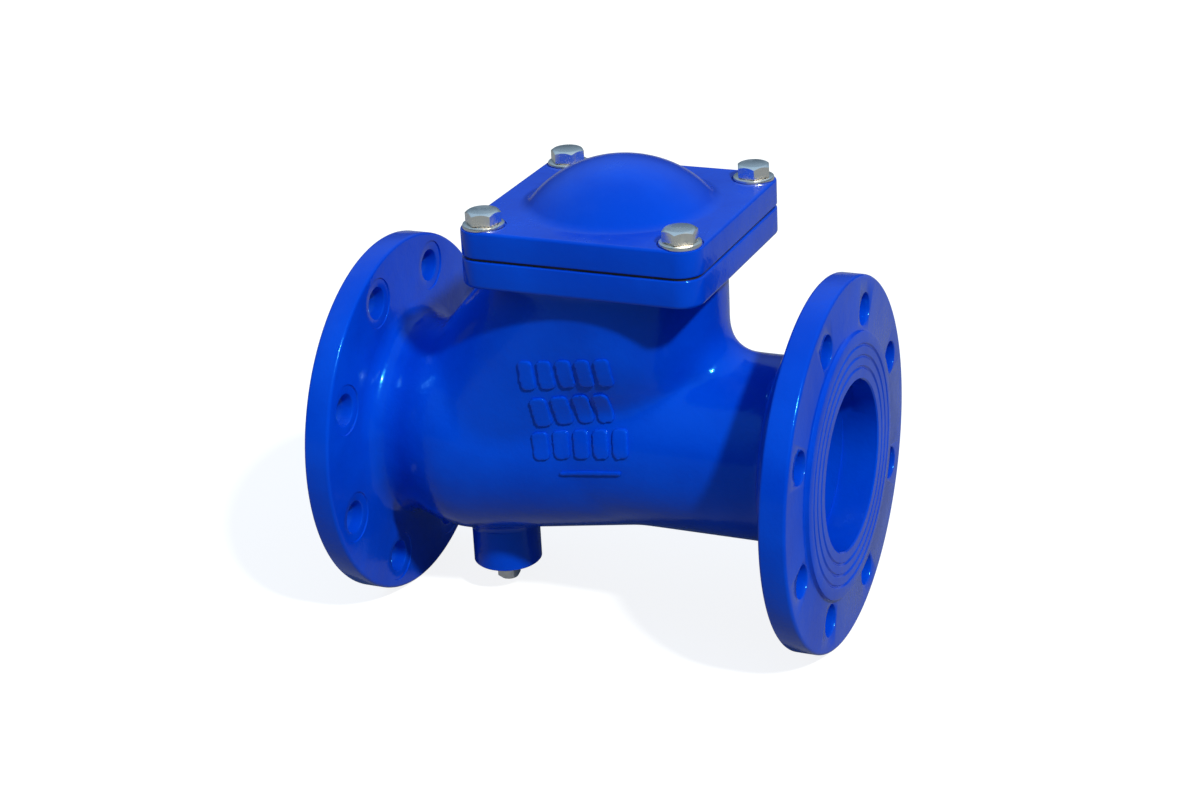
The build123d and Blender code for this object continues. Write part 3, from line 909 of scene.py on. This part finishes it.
# %% The orange peel group
PLACE_INPUT = ("Vector", "NodeSocketVector", (0, 0, 0))
peel, start, end = new_group(
    "orange_peel",
    [PLACE_INPUT, ("Peel", "NodeSocketFloat", 1.0), ("Cast", "NodeSocketFloat", 1.0)],
    [("Height", "NodeSocketFloat")],
)
fine = noise(peel, start.outputs["Vector"], 420, 2.0)
lumps = noise(peel, start.outputs["Vector"], 60, 3.0)
waves = noise(peel, start.outputs["Vector"], 18, 2.0)
sprayed = maths(peel, "MULTIPLY", fine.outputs["Fac"], start.outputs["Peel"])
grains = maths(peel, "MULTIPLY", lumps.outputs["Fac"], 2.2)
sand = maths(peel, "ADD", grains, maths(peel, "MULTIPLY", waves.outputs["Fac"], 5.0))
cast = maths(peel, "MULTIPLY", sand, start.outputs["Cast"])
peel.links.new(maths(peel, "ADD", sprayed, cast), end.inputs["Height"])

# %% The handling marks group
marks_group, start, end = new_group(
    "handling_marks",
    [PLACE_INPUT, ("Scale", "NodeSocketFloat", 30.0)],
    [("Smudge", "NodeSocketFloat"), ("Scratch", "NodeSocketFloat")],
)
smudge = noise(marks_group, start.outputs["Vector"], 22, 4.0, 0.6)
marks_group.links.new(start.outputs["Scale"], smudge.inputs["Scale"])
stretch = marks_group.nodes.new("ShaderNodeMapping")
stretch.inputs["Scale"].default_value = (14, 1, 5)
stretch.inputs["Rotation"].default_value = (0.4, 0.7, 0.9)
marks_group.links.new(start.outputs["Vector"], stretch.inputs["Vector"])
lines = noise(marks_group, stretch.outputs["Vector"], 90, 2.0)
marks_group.links.new(ramp(marks_group, smudge.outputs["Fac"], 0.42, 0.68), end.inputs["Smudge"])
marks_group.links.new(ramp(marks_group, lines.outputs["Fac"], 0.68, 0.76), end.inputs["Scratch"])

# %% The dust and painted sheen group
dust_and_sheen_group, start, end = new_group("dust_and_sheen_mask", [PLACE_INPUT], [("Dust and sheen", "NodeSocketFloat")])
facing = dust_and_sheen_group.nodes.new("ShaderNodeNewGeometry")
split = dust_and_sheen_group.nodes.new("ShaderNodeSeparateXYZ")
dust_and_sheen_group.links.new(facing.outputs["Normal"], split.inputs["Vector"])
# upward faces: settled dust for the roughness, and a painted sky sheen for the colour
upward = ramp(dust_and_sheen_group, split.outputs["Z"], 0.55, 0.98)
patch = ramp(dust_and_sheen_group, noise(dust_and_sheen_group, start.outputs["Vector"], 35, 6.0, 0.65).outputs["Fac"], 0.48, 0.75)
dust_and_sheen_group.links.new(maths(dust_and_sheen_group, "MULTIPLY", upward, patch), end.inputs["Dust and sheen"])
print("groups:", [g.name for g in bpy.data.node_groups])


# %% [markdown]
# ## How a material is put together
# Every finish starts from one Principled shader with its plain values on the shader's
# own sockets. Only what changes over the surface is linked: colour, roughness and bump.
# All patterns read Object coordinates, so they stay on the piece when it moves.

# %% Helpers that build a material
def start_material(name, colour, roughness, metallic=0.0, **plain):
    """A material, its tree, its shader and the place on the piece; IOR and the like are plain."""
    material = bpy.data.materials.new(name)
    material.use_nodes = True
    tree = material.node_tree
    shader = tree.nodes["Principled BSDF"]
    shader.inputs["Base Color"].default_value = (*colour, 1)
    shader.inputs["Roughness"].default_value = roughness
    shader.inputs["Metallic"].default_value = metallic
    for label, value in plain.items():
        shader.inputs[label.replace("_", " ")].default_value = value
    place = tree.nodes.new("ShaderNodeTexCoord").outputs["Object"]
    return material, tree, shader, place


def use_group(tree, group, place, **values):
    """Places a shader group in a material, with its own amounts."""
    made = tree.nodes.new("ShaderNodeGroup")
    made.node_tree = group
    tree.links.new(place, made.inputs["Vector"])
    for label, value in values.items():
        made.inputs[label].default_value = value
    return made


def mix_colours(tree, factor, a, b):
    """Goes from colour a to colour b; each is a tuple or the output of a node."""
    made = tree.nodes.new("ShaderNodeMix")
    made.data_type = "RGBA"
    tree.links.new(factor, made.inputs["Factor"])
    for socket, value in ((made.inputs[6], a), (made.inputs[7], b)):
        if isinstance(value, tuple):
            socket.default_value = (*value, 1)
        else:
            tree.links.new(value, socket)
    return made.outputs[2]


def bump(tree, shader, height, distance):
    """Lets a height pattern tilt the shading, as relief of the given depth would."""
    made = tree.nodes.new("ShaderNodeBump")
    made.inputs["Strength"].default_value = 1.0
    made.inputs["Distance"].default_value = distance
    tree.links.new(height, made.inputs["Height"])
    tree.links.new(made.outputs["Normal"], shader.inputs["Normal"])


# %% [markdown]
# ## Blue epoxy
# The casting is sprayed with a thick blue epoxy. It is deep and glossy, and follows the
# sand texture under it. A noise varies the colour a little, and a mask of upward faces
# tints them a lighter cyan blue, which is a painted sky sheen. Smudges and dust change the
# roughness, and orange peel and cast lumps go into the bump. The tinted specular keeps
# the reflections blue, because a white haze would make the coat look chalky.

# %% Make the blue coat
def blue_coat(name, cast_amount):
    material, tree, shader, place = start_material(name, (0.0, 0.048, 0.58), 0.2, IOR=1.5)
    shader.inputs["Specular Tint"].default_value = (0.05, 0.55, 1.0, 1)
    shader.inputs["Coat Weight"].default_value = 0.1
    shader.inputs["Coat Roughness"].default_value = 0.06
    cloud = noise(tree, place, 14, 4.0, 0.55)
    cloudy = ramp(tree, cloud.outputs["Fac"], 0.35, 0.7)
    tone = mix_colours(tree, cloudy, (0.0, 0.042, 0.53), (0.0, 0.056, 0.62))
    dust_and_sheen_node = use_group(tree, dust_and_sheen_group, place)
    # the upward-face mask tints top faces a lighter cyan blue: a painted sky sheen, not a dust colour; in
    # the roughness below it stands for settled dust
    painted_sheen_amount = maths(tree, "MULTIPLY", dust_and_sheen_node.outputs["Dust and sheen"], 0.05)
    tree.links.new(mix_colours(tree, painted_sheen_amount, tone, (0.10, 0.24, 0.66)), shader.inputs["Base Color"])
    handled = use_group(tree, marks_group, place, Scale=26.0)
    rough = maths(tree, "ADD", maths(tree, "MULTIPLY", handled.outputs["Smudge"], 0.08), 0.13)
    rough = maths(tree, "ADD", rough, maths(tree, "MULTIPLY", dust_and_sheen_node.outputs["Dust and sheen"], 0.18))
    tree.links.new(rough, shader.inputs["Roughness"])
    skin = use_group(tree, peel, place, Peel=0.35, Cast=cast_amount)
    bump(tree, shader, skin.outputs["Height"], 0.35 * MM)
    return material


cast_blue = blue_coat("blue_epoxy_on_casting", 0.55)
cover_blue = blue_coat("blue_epoxy_on_cover", 0.42)

# %% [markdown]
# ## Zinc, bronze and steel
# The screws are bright zinc: a metal with faint blotches and fine handling scratches.
# The seat ring is turned bronze, so fine grooves run in rings about its axis.

# %% Make the metals
RING_SCALE = 900.0


def metal(name, colour, shade, roughness, lathe=None):
    """A metal with smudges; lathe is the centre and tilt of its turning marks, if it has any."""
    material, tree, shader, place = start_material(name, colour, roughness, 1.0)
    handled = use_group(tree, marks_group, place, Scale=120.0)
    blotch = maths(tree, "MULTIPLY", handled.outputs["Smudge"], 0.5)
    tree.links.new(mix_colours(tree, blotch, colour, shade), shader.inputs["Base Color"])
    rough = maths(tree, "ADD", maths(tree, "MULTIPLY", handled.outputs["Smudge"], 0.16), roughness)
    rough = maths(tree, "SUBTRACT", rough, maths(tree, "MULTIPLY", handled.outputs["Scratch"], 0.08))
    tree.links.new(rough, shader.inputs["Roughness"])
    grain = noise(tree, place, 700, 2.0).outputs["Fac"]
    if lathe:
        middle, tilt = lathe
        centre = tree.nodes.new("ShaderNodeMapping")
        centre.inputs["Location"].default_value = tuple(-v for v in middle)
        tree.links.new(place, centre.inputs["Vector"])
        turn_to = tree.nodes.new("ShaderNodeVectorRotate")
        turn_to.rotation_type = "Y_AXIS"
        turn_to.inputs["Angle"].default_value = tilt
        tree.links.new(centre.outputs["Vector"], turn_to.inputs["Vector"])
        rings = tree.nodes.new("ShaderNodeTexWave")
        rings.wave_type = "RINGS"
        rings.rings_direction = "Z"
        rings.inputs["Scale"].default_value = RING_SCALE
        rings.inputs["Distortion"].default_value = 0.6
        tree.links.new(turn_to.outputs["Vector"], rings.inputs["Vector"])
        grain = maths(tree, "ADD", grain, rings.outputs["Fac"])
    bump(tree, shader, grain, 0.03 * MM)
    return material


zinc = metal("bright_zinc", (1.0, 0.93, 0.84), (0.78, 0.74, 0.68), 0.24)
plug_zinc = metal("dull_zinc", (0.9, 0.88, 0.86), (0.7, 0.69, 0.68), 0.4)
seat_lathe = (SEAT_CENTRE, math.pi / 2 - SEAT_TILT)
bronze = metal("turned_bronze", (0.66, 0.44, 0.2), (0.5, 0.31, 0.13), 0.26, seat_lathe)
core_iron = metal("pressed_steel", (0.45, 0.45, 0.46), (0.26, 0.24, 0.23), 0.45)

# %% [markdown]
# ## Rubber and tape
# The gasket and the ball are moulded rubber, dark and nearly matt, with a little talc.
# The thread tape is thin white film, and a coarser grain stands for its creases.

# %% Make the soft materials
def rubber(name, colour, worn, roughness, grain_scale):
    """A soft, nearly matt finish with smudges of a second colour and a fine grain."""
    material, tree, shader, place = start_material(name, colour, roughness, IOR=1.5)
    shader.inputs["Specular IOR Level"].default_value = 0.4
    handled = use_group(tree, marks_group, place, Scale=40.0)
    talc = maths(tree, "MULTIPLY", handled.outputs["Smudge"], 0.6)
    tree.links.new(mix_colours(tree, talc, colour, worn), shader.inputs["Base Color"])
    rough = maths(tree, "ADD", maths(tree, "MULTIPLY", handled.outputs["Smudge"], 0.15), roughness)
    tree.links.new(rough, shader.inputs["Roughness"])
    grain = noise(tree, place, grain_scale, 3.0).outputs["Fac"]
    bump(tree, shader, grain, 0.12 * MM)
    return material


gasket_rubber = rubber("gasket_rubber", (0.012, 0.012, 0.013), (0.05, 0.05, 0.052), 0.6, 500)
ring_rubber = rubber("seal_rubber", (0.014, 0.014, 0.015), (0.03, 0.03, 0.03), 0.4, 700)
ball_coat = rubber("ball_coat_rubber", (0.02, 0.021, 0.023), (0.07, 0.07, 0.072), 0.42, 260)
backing = rubber("backing_rubber", (0.02, 0.02, 0.02), (0.05, 0.05, 0.05), 0.6, 300)
tape = rubber("white_tape", (0.86, 0.86, 0.84), (0.72, 0.72, 0.7), 0.5, 180)

# %% [markdown]
# ## Which piece takes which finish
# Every new piece rides on its CAD body and replaces the CAD node it stands for, which is
# hidden. The CAD nodes that stay only change their material.

# %% Assign materials and bodies, and hide the replaced CAD nodes
def dress(piece, material, body, node_name):
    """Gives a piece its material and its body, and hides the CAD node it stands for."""
    piece.data.materials.clear()
    piece.data.materials.append(material)
    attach(piece, body)
    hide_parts(node_name)


dress(casting, cast_blue, "valve_body", "body")
dress(cover, cover_blue, "valve_body", "cover")
dress(plug, plug_zinc, "valve_body", "drain_plug")
dress(coat, ball_coat, "ball", "ball_rubber")
for number, (screw, washer) in enumerate(zip(screws, washers), 1):
    dress(screw, zinc, "valve_body", f"cover_bolt_{number}")
    dress(washer, zinc, "valve_body", f"bolt_washer_{number}")
kept_nodes = {
    "cover_gasket": gasket_rubber,
    "seat_ring": bronze,
    "seat_o_ring": ring_rubber,
    "ball_core_upper": core_iron,
    "ball_core_lower": core_iron,
    "ball_backing_ring": backing,
    "plug_thread_tape": tape,
}
for name, material in kept_nodes.items():
    for place in frame["nodes"][name].material_slots:
        place.material = material
print("kept CAD nodes:", sorted(kept_nodes))

# %% [markdown]
# ## Floor, light and camera
# The valve stands on the rims of its flanges on a pale floor. A strong lamp from the
# upper right front gives the crisp shadow under the square flange, and the pale
# surroundings fill the rest. The camera looks down at the right front corner.

# %% Lay the floor
FLOOR_SIZE = 14.0
FLOOR_Z = -FLANGE_RADIUS - 0.2 * MM
FLOOR_GLOW = 0.86
bpy.ops.object.select_all(action="DESELECT")
bpy.ops.mesh.primitive_plane_add(size=FLOOR_SIZE, location=(MIDDLE_X, 0, FLOOR_Z))
floor = bpy.context.object
floor.name = "floor"
floor_paint, tree, shader, place = start_material("pale_floor", (0.26, 0.26, 0.26), 0.9)
shader.inputs["Specular IOR Level"].default_value = 0.0
shader.inputs["Emission Color"].default_value = (1, 1, 1, 1)
seen = tree.nodes.new("ShaderNodeLightPath")
glow = maths(tree, "MULTIPLY", seen.outputs["Is Camera Ray"], FLOOR_GLOW)
tree.links.new(glow, shader.inputs["Emission Strength"])
floor.data.materials.append(floor_paint)

# %% Set the lamps
def lamp(name, kind, energy, toward, **settings):
    """A lamp that stands in the given direction and shines back along it."""
    data = bpy.data.lights.new(name, kind)
    data.energy = energy
    for label, value in settings.items():
        setattr(data, label, value)
    thing = bpy.data.objects.new(name, data)
    bpy.context.scene.collection.objects.link(thing)
    thing.rotation_euler = Vector(toward).to_track_quat("Z", "Y").to_euler()


lamp("key_sun", "SUN", 3.2, (0.59, -0.42, 0.70), angle=math.radians(4), color=(1.0, 1.0, 0.88))

# %% Light the surroundings
# the sky is brighter above than at the horizon, and the camera alone sees it pure white
world = bpy.data.worlds.new("studio")
bpy.context.scene.world = world
world.use_nodes = True
tree = world.node_tree
sky = tree.nodes["Background"]
direction = tree.nodes.new("ShaderNodeTexCoord").outputs["Generated"]
height = tree.nodes.new("ShaderNodeSeparateXYZ")
tree.links.new(direction, height.inputs["Vector"])
lit = ramp(tree, height.outputs["Z"], 0.0, 0.8, 0.1, 0.72)
seen = tree.nodes.new("ShaderNodeLightPath").outputs["Is Camera Ray"]
tree.links.new(maths(tree, "MAXIMUM", lit, seen), sky.inputs["Strength"])
tint = mix_colours(tree, seen, (0.45, 0.7, 1.0), (1.0, 1.0, 1.0))
tree.links.new(tint, sky.inputs["Color"])
bpy.context.scene.view_settings.view_transform = "Standard"

# %% Place the camera
AZIMUTH, ELEVATION, ROLL = math.radians(24.095), math.radians(22.877), math.radians(-2.987)
DISTANCE = 1.4708
FOCAL_LENGTH = 74.382
AIM = Vector((0.14376, 0, 0.02218))
level = Vector((math.cos(AZIMUTH), math.sin(AZIMUTH), 0))
backward = Vector(
    (math.cos(ELEVATION) * math.sin(AZIMUTH), -math.cos(ELEVATION) * math.cos(AZIMUTH), math.sin(ELEVATION))
)
right = level * math.cos(ROLL) + backward.cross(level) * math.sin(ROLL)
pose = Matrix((right, backward.cross(right), backward)).transposed().to_4x4()
pose.translation = AIM + backward * DISTANCE
lens = bpy.data.cameras.new("camera")
lens.lens = FOCAL_LENGTH
camera = bpy.data.objects.new("camera", lens)
bpy.context.scene.collection.objects.link(camera)
camera.matrix_world = pose
bpy.context.scene.camera = camera
